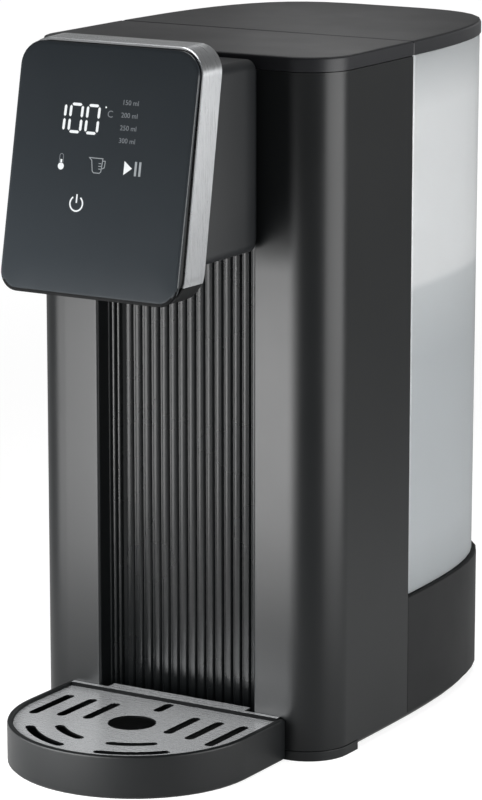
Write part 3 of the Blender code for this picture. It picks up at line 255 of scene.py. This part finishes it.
def cast_metal(name, colour, roughness, grain_mm):
    """Bare cast or plated metal: small crystals that break the reflection up."""
    made, tree, shader = start_material(name)
    finish_shader(shader, colour, roughness, 1.0)
    place = add(tree, "ShaderNodeTexCoord")
    grain = add(tree, "ShaderNodeTexVoronoi", {"Scale": 1 / (grain_mm * MM)},
                {"Vector": place.outputs["Object"]})
    gloss = add(tree, "ShaderNodeMapRange", {"To Min": roughness * 0.8, "To Max": roughness * 1.3},
                {"Value": grain.outputs["Distance"]})
    tree.links.new(gloss.outputs["Result"], shader.inputs["Roughness"])
    bump = add(tree, "ShaderNodeBump", {"Distance": 0.04 * MM, "Strength": 0.4},
               {"Height": grain.outputs["Distance"]})
    tree.links.new(bump.outputs["Normal"], shader.inputs["Normal"])
    return made


def circuit_lacquer(name):
    """Solder mask over a glass-fibre board: deep green with copper tracks just showing under it."""
    made, tree, shader = start_material(name)
    finish_shader(shader, "#1C5A34", 0.35)
    place = add(tree, "ShaderNodeTexCoord")
    greens = {"Color1": shade("#1C5A34"), "Color2": shade("#1F6239"), "Mortar": shade("#3E7A45")}
    track = add(tree, "ShaderNodeTexBrick", {"Scale": 1 / (12 * MM), "Mortar Size": 0.03, **greens},
                {"Vector": place.outputs["Object"]})
    tree.links.new(track.outputs["Color"], shader.inputs["Base Color"])
    return made


def lit_ink(name, colour, strength):
    """Lamp light through a clear window in the panel's ink: even, with the faint spots of its lamps."""
    made, tree, shader = start_material(name)
    finish_shader(shader, "#1E2327", 0.22, IOR=1.49)
    place = add(tree, "ShaderNodeTexCoord")
    spots = add(tree, "ShaderNodeTexNoise", {"Scale": 1 / (1.5 * MM), "Detail": 1.0},
                {"Vector": place.outputs["Object"]})
    shades = {"data_type": "RGBA", "A": shade(colour, 0.9), "B": shade(colour, 1.08)}
    tone = add(tree, "ShaderNodeMix", shades, {0: spots.outputs["Fac"]})
    tree.links.new(tone.outputs["Result"], shader.inputs["Emission Color"])
    shader.inputs["Emission Strength"].default_value = strength
    return made


FINISHES = {
    "satin_abs": moulded_plastic("satin_black_abs", "#0D0F10", 0.32, 0.35, 0.008, 0.06),
    "rib_abs": moulded_plastic("ribbed_black_abs", "#0D0F10", 0.27, 0.35, 0.008, 0.06),
    "lid_abs": moulded_plastic("matt_lid_abs", "#141518", 0.40, 0.35, 0.010, 0.06),
    "matt_abs": moulded_plastic("matt_black_abs", "#0F1112", 0.40, 0.45, 0.012, 0.08),
    "dark_abs": moulded_plastic("deep_black_abs", "#0A0B0C", 0.50, 0.45, 0.02, 0.08),
    "housing_abs": moulded_plastic("head_housing_abs", "#141618", 0.42, 0.35, 0.008, 0.06, 1.50),
    "base_abs": moulded_plastic("rear_base_abs", "#0F1011", 0.50, 0.45, 0.02, 0.08, 1.28),
    # Painted shade: a dull black for narrow sides that stand dark in shade
    "painted_shade_edge": moulded_plastic("painted_shade_black", "#08090A", 0.60, 0.45, 0.02, 0.06, 1.15),
    "panel": smooth_acrylic("black_backed_acrylic", "#23282C", 0.22),
    "gloss_abs": smooth_acrylic("gloss_black_abs", "#111315", 0.28),
    "band": brushed_metal("brushed_anodised_aluminium", "#D6D8DA", 0.30, 0.20, 14.0, 0.012),
    "steel": brushed_metal("brushed_stainless_steel", "#D6D8DA", 0.26, 0.24, 16.0, 0.010, 0.7),
    "tank": frosted_san("frosted_san", "#F2F4F5"),
    "water": clear_water("clear_water"),
    "rubber": soft_rubber("black_rubber", "#1B1B1B", 0.75),
    "silicone": soft_rubber("milky_silicone", "#D8D8D2", 0.55),
    "white": moulded_plastic("white_pom", "#DADAD6", 0.40, 0.5, 0.01, 0.05),
    "cast": cast_metal("cast_aluminium", "#B8BABC", 0.45, 1.2),
    "zinc": cast_metal("zinc_plated_steel", "#A9ABAD", 0.32, 2.5),
    "board": circuit_lacquer("green_solder_mask"),
    "lamp_block": smooth_acrylic("dark_lamp_block", "#1E1E20", 0.3),
    "lit": lit_ink("lit_display", "#F4F7FA", 1.0),
    "lit_soft": lit_ink("lit_outlines", "#C9CED2", 0.60),
    "lit_faint": lit_ink("lit_labels", "#AEB3B8", 0.45),
}


def refined(node, finish, bevel_mm=0.0, segments=2, angle=32.0):
    """Stand a finer copy in for a solid: joined facets, rounded edges and smooth curved faces."""
    source = frame["nodes"][node]
    mesh = source.data.copy()
    mesh.attributes.remove(mesh.attributes["custom_normal"])
    work = bmesh.new()
    work.from_mesh(mesh)
    bmesh.ops.remove_doubles(work, verts=work.verts, dist=0.001 * MM)
    bmesh.ops.dissolve_limit(work, angle_limit=math.radians(0.6), verts=work.verts, edges=work.edges)
    work.to_mesh(mesh)
    work.free()
    mesh.shade_smooth()
    mesh.set_sharp_from_angle(angle=math.radians(angle))
    piece = bpy.data.objects.new(f"{node}_finished", mesh)
    bpy.context.scene.collection.objects.link(piece)
    if bevel_mm:
        edge = piece.modifiers.new("edge", "BEVEL")
        edge.width = bevel_mm * MM
        edge.segments = segments
        edge.limit_method = "ANGLE"
        edge.angle_limit = math.radians(angle)
        edge.harden_normals = True
    flat = piece.modifiers.new("flat_faces", "WEIGHTED_NORMAL")
    flat.keep_sharp = True
    settle(piece, finish, source["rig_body"])
    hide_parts(node)
    return piece


def settle(piece, finish, body):
    """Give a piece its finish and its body."""
    piece.data.materials.clear()
    piece.data.materials.append(FINISHES[finish])
    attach(piece, body)
    return piece


def mesh_piece(name, points, faces):
    """A mesh object from points and faces, its faces turned outwards."""
    mesh = bpy.data.meshes.new(name)
    mesh.from_pydata(points, [], faces)
    work = bmesh.new()
    work.from_mesh(mesh)
    bmesh.ops.recalc_face_normals(work, faces=work.faces)
    work.to_mesh(mesh)
    work.free()
    piece = bpy.data.objects.new(name, mesh)
    bpy.context.scene.collection.objects.link(piece)
    return piece


def paint_shaded_sides(piece, chosen):
    """Painted shade: matt black on the narrow sides that would show as a bright line, so they stand dark as
    in shade.
    """
    piece.data.materials.append(FINISHES["painted_shade_edge"])
    for side in piece.data.polygons:
        side.material_index = int(chosen(side))


def prism_faces(count):
    """The ends and sides of a prism whose lower ring of points comes before its upper one."""
    faces = [tuple(range(count))[::-1], tuple(range(count, 2 * count))]
    for k in range(count):
        after = (k + 1) % count
        faces.append((k, after, count + after, count + k))
    return faces


def dress_shells():
    """Finer copies of the outer solids in their finishes. Those with lights of their own come back."""
    shell = refined("body_shell", "satin_abs", 0.25)
    ribs = refined("rib_panel", "rib_abs")
    cover = refined("top_cover", "lid_abs")
    lid = refined("tank_lid", "lid_abs")
    refined("rear_base", "base_abs")
    refined("front_skirt", "matt_abs", 0.3)
    refined("base_plate", "matt_abs")
    refined("divider_wall", "dark_abs")
    refined("head_housing", "housing_abs", 0.6, 3)
    refined("drip_tray", "matt_abs")
    grille = refined("drip_grille", "steel", 0.25, 2, 15.0)
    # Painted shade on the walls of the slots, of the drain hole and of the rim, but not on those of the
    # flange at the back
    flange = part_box("drip_grille")[1].y - 6.0 * MM
    paint_shaded_sides(grille, lambda side: abs(side.normal.z) < 0.5 and side.center.y < flange)
    band = refined("head_frame", "band")
    refined("panel_carrier", "dark_abs", 0.2)
    panel = refined("control_panel", "panel")
    # Painted shade on the lower edge and corners and the back. The right and left edges stay as glossy as
    # the face
    paint_shaded_sides(panel, lambda side: side.normal.z < 0.1 and abs(side.normal.x) < 0.9)
    refined("water_tank", "tank", 0.2)
    return {"shell": shell, "ribs": ribs, "tops": (cover, lid), "band": band, "grille": grille}


def paint_inner_pieces():
    """Give each solid that stays as it is the finish of its real material."""
    finishes = {
        "rubber": ("foot_front_left", "foot_front_right", "foot_rear_left", "foot_rear_right", "cord_gland",
                   "pump_cradle_inner", "pump_cradle_outer"),
        "silicone": ("dock_seal", "spout_seal", "inlet_hose", "pump_hose", "outlet_hose"),
        "white": ("valve_body", "valve_plunger", "tank_strainer", "dock_socket", "water_pump"),
        "cast": ("water_heater",),
        "zinc": ("base_screw_1", "base_screw_2", "base_screw_3", "base_screw_4", "valve_spring",
                 "heater_bracket", "thermal_cutout", "water_sensor"),
        "board": ("display_board", "power_board"),
        "lamp_block": ("led_display",),
        "gloss_abs": ("spout_nozzle",),
    }
    for finish, names in finishes.items():
        for name in names:
            solid = frame["nodes"][name]
            solid.data.materials.clear()
            solid.data.materials.append(FINISHES[finish])


def fill_tank():
    """Water up to its line, a hair inside the tank's walls."""
    gap = 0.25 * MM
    mesh = frame["nodes"]["water_tank"].data
    under_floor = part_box("water_tank")[0].z + 2.0 * MM
    heights = {round(v.co.z, 6) for v in mesh.vertices}
    floor_z = min(z for z in heights if z > under_floor)
    ring = {(round(v.co.x, 6), round(v.co.y, 6)) for v in mesh.vertices
            if abs(v.co.z - floor_z) < 0.01 * MM}
    middle = Vector((0.0, sum(y for x, y in ring) / len(ring)))
    places = [Vector(p) for p in ring]
    farthest = max((p - middle).length for p in places)
    edge = [p for p in places if (p - middle).length > farthest * 0.4]
    edge.sort(key=lambda p: math.atan2(p.y - middle.y, p.x - middle.x))
    edge = [p + (middle - p).normalized() * gap for p in edge]
    points = [(p.x, p.y, floor_z + gap) for p in edge] + [(p.x, p.y, water_level) for p in edge]
    water = mesh_piece("tank_water", points, prism_faces(len(edge)))
    water.data.shade_smooth()
    water.data.set_sharp_from_angle(angle=math.radians(40))
    settle(water, "water", "tank")


def place_camera():
    """The camera where the photograph was taken from."""
    turn, pitch = math.radians(view_turn), math.radians(view_pitch)
    aim = Vector((-math.sin(turn) * math.cos(pitch), math.cos(turn) * math.cos(pitch), -math.sin(pitch)))
    data = bpy.data.cameras.new("photo_view")
    data.lens = view_lens
    data.sensor_width = 36.0
    camera = bpy.data.objects.new("photo_view", data)
    bpy.context.scene.collection.objects.link(camera)
    camera.location = view_target - aim * view_distance
    camera.rotation_euler = aim.to_track_quat("-Z", "Y").to_euler()
    bpy.context.scene.camera = camera


def softbox(name, width, height, radiance, place=(0.0, 0.0, 0.0)):
    """A rectangular studio light at a place, facing down, with its brightness as seen in a mirror, where
    white paper in the same light is about 1."""
    data = bpy.data.lights.new(name, "AREA")
    data.shape = "RECTANGLE"
    data.size, data.size_y = width, height
    data.energy = radiance * math.pi * width * height
    lamp = bpy.data.objects.new(name, data)
    bpy.context.scene.collection.objects.link(lamp)
    lamp.location = place
    lamp.visible_camera = False
    return lamp


def standing_softbox(name, turn, distance, low, high, width, radiance):
    """A softbox upright at a turn round the machine, from one height to another, facing its middle."""
    lamp = softbox(name, width, high - low, radiance)
    side = math.radians(turn)
    lamp.location = (distance * math.sin(side), -distance * math.cos(side), (low + high) / 2)
    lamp.rotation_euler = (math.radians(90), 0.0, side)
    return lamp


def reach(name, pieces, state="INCLUDE"):
    """The pieces that a light shines on, or with EXCLUDE those that it leaves out."""
    group = bpy.data.collections.new(name)
    for piece in pieces:
        group.objects.link(piece)
    for member in group.collection_objects:
        member.light_linking.link_state = state
    return group


def light_studio(pieces):
    """Front lights that the columns mirror, strongest before the right column, a broad light from the
    right and one overhead. The ribs and the grille stand in the shade of the columns and the head, and
    the tops and the band mirror narrow parts of the studio, so each has a light of its own."""
    ribs, shell, band = pieces["ribs"], pieces["shell"], pieces["band"]
    heights = (front_lights_low, front_lights_high)
    for lamp in (standing_softbox("front_softbox", -18.0, 0.34, *heights, 0.200, 12.6),
                 standing_softbox("front_left_wing", -48.0, 0.34, *heights, 0.165, 5.6),
                 standing_softbox("front_right_wing", 5.0, 0.34, *heights, 0.072, 3.8)):
        lamp.light_linking.receiver_collection = reach(f"{lamp.name}_leaves", [ribs], "EXCLUDE")
    for lamp in (standing_softbox("rib_softbox", -38.0, 0.42, 0.0, 0.21, 0.09, 13.5),
                 standing_softbox("rib_front", 5.0, 0.42, 0.0, 0.21, 0.10, 20.0)):
        lamp.light_linking.receiver_collection = reach(f"{lamp.name}_on", [ribs])
        lamp.light_linking.blocker_collection = reach(f"{lamp.name}_passes", [shell, ribs], "EXCLUDE")
    above = softbox("grille_softbox", 0.1, 0.1, 4.2, (0.0, front_y - 0.04, 0.20))
    above.light_linking.receiver_collection = reach("grille_softbox_on", [pieces["grille"]])
    right = standing_softbox("right_softbox", 92.0, 0.50, 0.0, 0.40, 0.44, 5.5)
    right.light_linking.receiver_collection = reach("right_softbox_leaves", [band], "EXCLUDE")
    side = standing_softbox("band_softbox", 105.0, 0.60, 0.17, 0.38, 0.50, 2.5)
    side.light_linking.receiver_collection = reach("band_softbox_on", [band])
    behind = standing_softbox("top_softbox", -157.0, 0.354, 0.42, 0.52, 0.10, 1.0)
    behind.light_linking.receiver_collection = reach("top_softbox_on", [*pieces["tops"], band])
    softbox("overhead_softbox", 1.2, 1.2, 2.4, (0.0, 0.0, 1.5))


def hang_sky():
    """A soft sky that fades from white at the horizon to a dim grey overhead."""
    world = bpy.data.worlds.new("studio")
    world.use_nodes = True
    tree = world.node_tree
    ray = add(tree, "ShaderNodeTexCoord")
    way = add(tree, "ShaderNodeSeparateXYZ", {}, {"Vector": ray.outputs["Generated"]})
    rise = add(tree, "ShaderNodeMapRange",
               {"interpolation_type": "SMOOTHSTEP", "From Min": 0.02, "From Max": 0.17},
               {"Value": way.outputs["Z"]})
    back = add(tree, "ShaderNodeMapRange",
               {"From Min": -0.8, "From Max": 0.8, "To Min": 0.17, "To Max": 0.16},
               {"Value": way.outputs["Y"]})
    sky = add(tree, "ShaderNodeMix", {"data_type": "FLOAT", 2: 1.0},
              {0: rise.outputs["Result"], 3: back.outputs["Result"]})
    tree.links.new(sky.outputs[0], tree.nodes["Background"].inputs["Color"])
    bpy.context.scene.world = world


def lay_floor():
    """A pale floor that reads white and fades to plain white away from the machine, whose soft shadow
    stays on it."""
    size = 8.0
    pale = "#B4B4B4"
    points = [(-size, -size, 0.0), (size, -size, 0.0), (size, size, 0.0), (-size, size, 0.0)]
    floor = mesh_piece("floor", points, [(0, 1, 2, 3)])
    made, tree, shader = start_material("pale_floor")
    finish_shader(shader, pale, 0.9)
    place = add(tree, "ShaderNodeTexCoord")
    away = add(tree, "ShaderNodeVectorMath", {"operation": "LENGTH"}, {0: place.outputs["Object"]})
    far = add(tree, "ShaderNodeMapRange",
              {"interpolation_type": "SMOOTHSTEP", "From Min": 0.35, "From Max": 1.3},
              {"Value": away.outputs["Value"]})
    tone = add(tree, "ShaderNodeMix", {"data_type": "RGBA", "A": shade(pale), "B": (0.0, 0.0, 0.0, 1.0)},
               {0: far.outputs["Result"]})
    tree.links.new(tone.outputs["Result"], shader.inputs["Base Color"])
    path = add(tree, "ShaderNodeLightPath")
    seen = add(tree, "ShaderNodeMath", {"operation": "MAXIMUM"},
               {0: path.outputs["Is Camera Ray"], 1: path.outputs["Is Glossy Ray"]})
    shown = add(tree, "ShaderNodeMath", {"operation": "MAXIMUM"},
                {0: seen.outputs[0], 1: path.outputs["Is Transmission Ray"]})
    level = add(tree, "ShaderNodeMapRange", {"To Min": 0.72, "To Max": 1.0},
                {"Value": far.outputs["Result"]})
    dim = add(tree, "ShaderNodeMapRange", {"To Min": 0.30, "To Max": 1.0},
              {"Value": path.outputs["Is Camera Ray"]})
    share = add(tree, "ShaderNodeMath", {"operation": "MULTIPLY"},
                {0: shown.outputs[0], 1: dim.outputs["Result"]})
    glow = add(tree, "ShaderNodeMath", {"operation": "MULTIPLY"},
               {0: share.outputs[0], 1: level.outputs["Result"]})
    shader.inputs["Emission Color"].default_value = (1.0, 1.0, 1.0, 1.0)
    tree.links.new(glow.outputs[0], shader.inputs["Emission Strength"])
    floor.data.materials.append(made)


class PanelFace:
    """The control panel's flat face: places on it are given in mm across from the middle and up the face
    from the panel's lower edge."""

    def __init__(self):
        mesh = frame["nodes"]["control_panel"].data
        flat = max((p for p in mesh.polygons if p.normal.y < -0.9), key=lambda p: p.area)
        self.out = flat.normal.copy()
        self.up = (Vector((0, 0, 1)) - self.out * self.out.z).normalized()
        self.level = mesh.vertices[flat.vertices[0]].co.dot(self.out)
        self.foot = min(v.co.dot(self.up) for v in mesh.vertices)

    def at(self, x, u, lift):
        rise = self.up * (self.foot + u * MM)
        return Vector((x * MM, 0, 0)) + rise + self.out * (self.level + lift * MM)

    def matrix(self, x, u, lift):
        turn = Matrix((Vector((1, 0, 0)), self.up, self.out)).transposed().to_4x4()
        return Matrix.Translation(self.at(x, u, lift)) @ turn


# How far a print's back and front stand off the panel's face, in mm
PRINT_BACK = 0.01
PRINT_FRONT = 0.05


def slab(face, outline):
    """A thin raised print of a closed outline on the panel, as points and faces."""
    points = [face.at(x, u, lift) for lift in (PRINT_BACK, PRINT_FRONT) for x, u in outline]
    return points, prism_faces(len(outline))


def stroke(face, line, width, closed=False):
    """A thin raised print along a line of places, with mitred corners, as points and faces."""
    spots = [Vector(p) for p in line]
    count = len(spots)
    points = []
    for k, spot in enumerate(spots):
        before = spots[k - 1] if k or closed else spot - (spots[1] - spot)
        after = spots[(k + 1) % count] if k < count - 1 or closed else spot + (spot - spots[k - 1])
        first = (spot - before).normalized()
        second = (after - spot).normalized()
        bisector = (first + second).normalized()
        side = Vector((-bisector.y, bisector.x)) * (width / 2 / max(bisector.dot(first), 0.35))
        for lift, turn in ((PRINT_BACK, 1), (PRINT_BACK, -1), (PRINT_FRONT, -1), (PRINT_FRONT, 1)):
            points.append(face.at(*(spot + side * turn), lift))
    faces = []
    for k in range(count if closed else count - 1):
        here, there = 4 * k, 4 * ((k + 1) % count)
        for j in range(4):
            faces.append((here + j, here + (j + 1) % 4, there + (j + 1) % 4, there + j))
    if not closed:
        faces += [(0, 1, 2, 3), (4 * count - 1, 4 * count - 2, 4 * count - 3, 4 * count - 4)]
    return points, faces


def print_marks(name, parts, finish):
    """Join prints in one piece that rides with the panel."""
    points, faces = [], []
    for some_points, some_faces in parts:
        faces += [tuple(k + len(points) for k in face) for face in some_faces]
        points += some_points
    piece = mesh_piece(name, points, faces)
    return settle(piece, finish, "root")


def round_line(centre, radius, first, last, steps):
    """Places on an arc, with its angles in degrees."""
    return [(centre[0] + radius * math.cos(math.radians(first + (last - first) * k / steps)),
             centre[1] + radius * math.sin(math.radians(first + (last - first) * k / steps)))
            for k in range(steps + 1)]


# Seven-segment digit: cell size, stroke and lean, in mm, and the lit segments of each figure
digit_width = 7.2
digit_height = 13.2
digit_stroke = 1.25
digit_gap = 0.42
digit_lean = 0.03
digit_pitch = 8.7
digit_segments = {"0": "abcdef", "1": "bc"}


def digit_parts(face, figure, left, low):
    """The lit segments of one figure, each a bar with bevelled ends."""
    half = digit_stroke / 2
    near_side, far_side = half, digit_width - half
    foot, middle, top = half, digit_height / 2, digit_height - half
    bars = {
        "a": ((near_side, top), (far_side, top)),
        "b": ((far_side, middle), (far_side, top)),
        "c": ((far_side, foot), (far_side, middle)),
        "d": ((near_side, foot), (far_side, foot)),
        "e": ((near_side, foot), (near_side, middle)),
        "f": ((near_side, middle), (near_side, top)),
    }
    parts = []
    for name in digit_segments[figure]:
        start, end = (Vector(p) for p in bars[name])
        along = (end - start).normalized()
        side = Vector((-along.y, along.x)) * half
        near, far = start + along * digit_gap, end - along * digit_gap
        shape = [near, near + along * half + side, far - along * half + side, far,
                 far - along * half - side, near + along * half - side]
        parts.append(slab(face, [(left + p.x + p.y * digit_lean, low + p.y) for p in shape]))
    return parts


def label(face, name, words, x, u, size, finish):
    """A line of plain type on the panel, its left end and base line at a place."""
    curve = bpy.data.curves.new(name, "FONT")
    curve.body = words
    curve.size = size * MM
    curve.extrude = (PRINT_FRONT - PRINT_BACK) / 2 * MM
    curve.resolution_u = 3
    typed = bpy.data.objects.new(name + "_type", curve)
    bpy.context.scene.collection.objects.link(typed)
    shape = bpy.data.meshes.new_from_object(typed.evaluated_get(bpy.context.evaluated_depsgraph_get()))
    bpy.data.objects.remove(typed, do_unlink=True)
    shape.transform(face.matrix(x, u, (PRINT_BACK + PRINT_FRONT) / 2))
    piece = bpy.data.objects.new(name, shape)
    bpy.context.scene.collection.objects.link(piece)
    return settle(piece, finish, "root")


def show_temperature(face):
    """The set temperature: 100 with its degree dot and letter."""
    left, base = -26.4, 70.9
    figures = []
    for k, figure in enumerate("100"):
        figures += digit_parts(face, figure, left + digit_pitch * k, base)
    print_marks("temperature_figures", figures, "lit")
    print_marks("degree_dot", [slab(face, round_line((1.2, 83.2), 0.42, 0, 330, 11))], "lit")
    label(face, "celsius_letter", "C", 2.1, 79.0, 4.3, "lit_faint")


def show_amounts(face):
    """The four amounts of water, one under the other."""
    left, top, spacing, size = 9.2, 84.9, 5.48, 3.1
    for k, amount in enumerate((150, 200, 250, 300)):
        label(face, f"amount_{amount}", f"{amount} ml", left, top - spacing * k, size, "lit_faint")


def show_thermometer(face):
    """A lit bulb and column in the outline of a tube."""
    middle, half, tube_half = -19.2, 0.45, 0.95
    bulb = round_line((middle, 56.2), 1.55, 120, 420, 20)
    column = [(middle + half, 57.7), (middle + half, 59.2), (middle - half, 59.2), (middle - half, 57.7)]
    top = round_line((middle, 60.7), tube_half, 0, 180, 8)
    tube = [(middle + tube_half, 57.9), *top, (middle - tube_half, 57.9)]
    print_marks("thermometer_symbol", [slab(face, bulb), slab(face, column)], "lit")
    print_marks("thermometer_outline", [stroke(face, tube, 0.30)], "lit_faint")


def show_jug(face):
    """The outline of a jug with its handle and three marks of its scale."""
    jug = [(-4.7, 61.0), (-3.5, 59.9), (-2.75, 55.3), (-2.0, 54.6), (1.0, 54.6), (1.7, 55.3), (2.15, 61.0)]
    handle = [(2.35, 60.0), (3.5, 60.0), (3.3, 57.2), (2.15, 56.6)]
    outlines = [stroke(face, jug, 0.36, closed=True), stroke(face, handle, 0.32)]
    marks = [stroke(face, [(0.2, u), (1.5, u)], 0.3) for u in (56.4, 57.6, 58.8)]
    print_marks("jug_symbol", outlines + marks, "lit_soft")


def show_start(face):
    """A triangle and two bars for start and pause."""
    print_marks("start_symbol", [slab(face, [(13.3, 54.9), (17.4, 57.9), (13.3, 60.9)])], "lit")
    low, high, width = 54.8, 61.0, 1.05
    bars = [slab(face, [(x, low), (x + width, low), (x + width, high), (x, high)]) for x in (18.7, 20.9)]
    print_marks("pause_symbol", bars, "lit_soft")


def show_power(face):
    """An open ring with an upright line in its gap."""
    middle, height, width = -9.3, 40.6, 0.7
    ring = round_line((middle, height), 3.25, 125, 415, 36)
    line = [(middle, height + 0.3), (middle, height + 4.1)]
    print_marks("power_symbol", [stroke(face, ring, width), stroke(face, line, width)], "lit")


def light_display():
    """The lit figures and symbols that show through the panel."""
    face = PanelFace()
    for show in (show_temperature, show_amounts, show_thermometer, show_jug, show_start, show_power):
        show(face)


place_camera()
light_studio(dress_shells())
hang_sky()
lay_floor()
paint_inner_pieces()
fill_tank()
light_display()

bpy.context.scene.view_settings.view_transform = "Standard"
